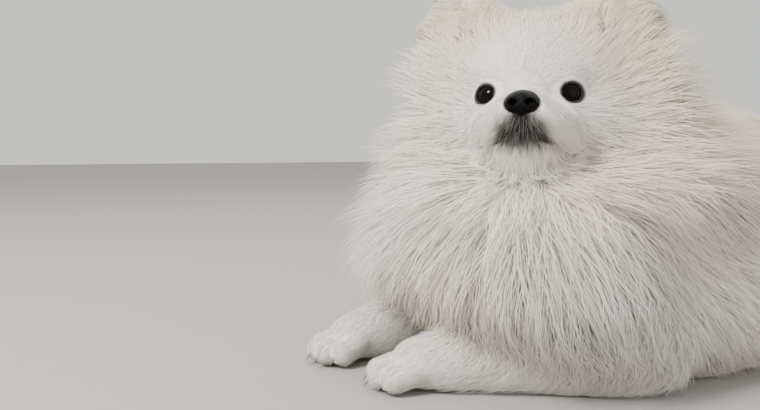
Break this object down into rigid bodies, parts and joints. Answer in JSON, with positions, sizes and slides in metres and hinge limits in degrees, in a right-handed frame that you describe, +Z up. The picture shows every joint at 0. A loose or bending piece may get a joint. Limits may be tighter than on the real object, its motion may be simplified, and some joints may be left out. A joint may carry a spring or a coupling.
{
  "type": "pomeranian",
  "caption": "Life-size white Pomeranian dog lying on its chest with forelegs stretched out, head raised and turned to its left; a still display model.",
  "frame": {"origin": "on the floor under the middle of the chest, on the flat that the chest rests on", "axes": "+Z up, the body faces -Y, +X is the dog's left side"},
  "size_m": [0.1999, 0.3462, 0.2107],
  "materials": {
    "long_coat": "long, dense, off-white guard coat over a woolly undercoat",
    "short_coat": "short, close white hair on legs and paws",
    "eye": "very dark brown, wet and glossy",
    "nose_leather": "black, finely pebbled and slightly moist",
    "claw": "dark horn"
  },
  "bodies": {
    "root": {"ear_left": "long_coat", "ear_right": "long_coat", "eye_left": "eye", "eye_right": "eye", "foreclaw_left_1": "claw", "foreclaw_left_2": "claw", "foreclaw_left_3": "claw", "foreclaw_left_4": "claw", "foreclaw_right_1": "claw", "foreclaw_right_2": "claw", "foreclaw_right_3": "claw", "foreclaw_right_4": "claw", "foreleg_left": "short_coat", "foreleg_right": "short_coat", "forepaw_left": "short_coat", "forepaw_right": "short_coat", "head": "long_coat", "hind_claw_left_1": "claw", "hind_claw_left_2": "claw", "hind_claw_left_3": "claw", "hind_claw_left_4": "claw", "hind_claw_right_1": "claw", "hind_claw_right_2": "claw", "hind_claw_right_3": "claw", "hind_claw_right_4": "claw", "hind_leg_left": "short_coat", "hind_leg_right": "short_coat", "hind_paw_left": "short_coat", "hind_paw_right": "short_coat", "neck": "long_coat", "nose": "nose_leather", "tail": "long_coat", "torso": "long_coat"}
  },
  "joints": []
}
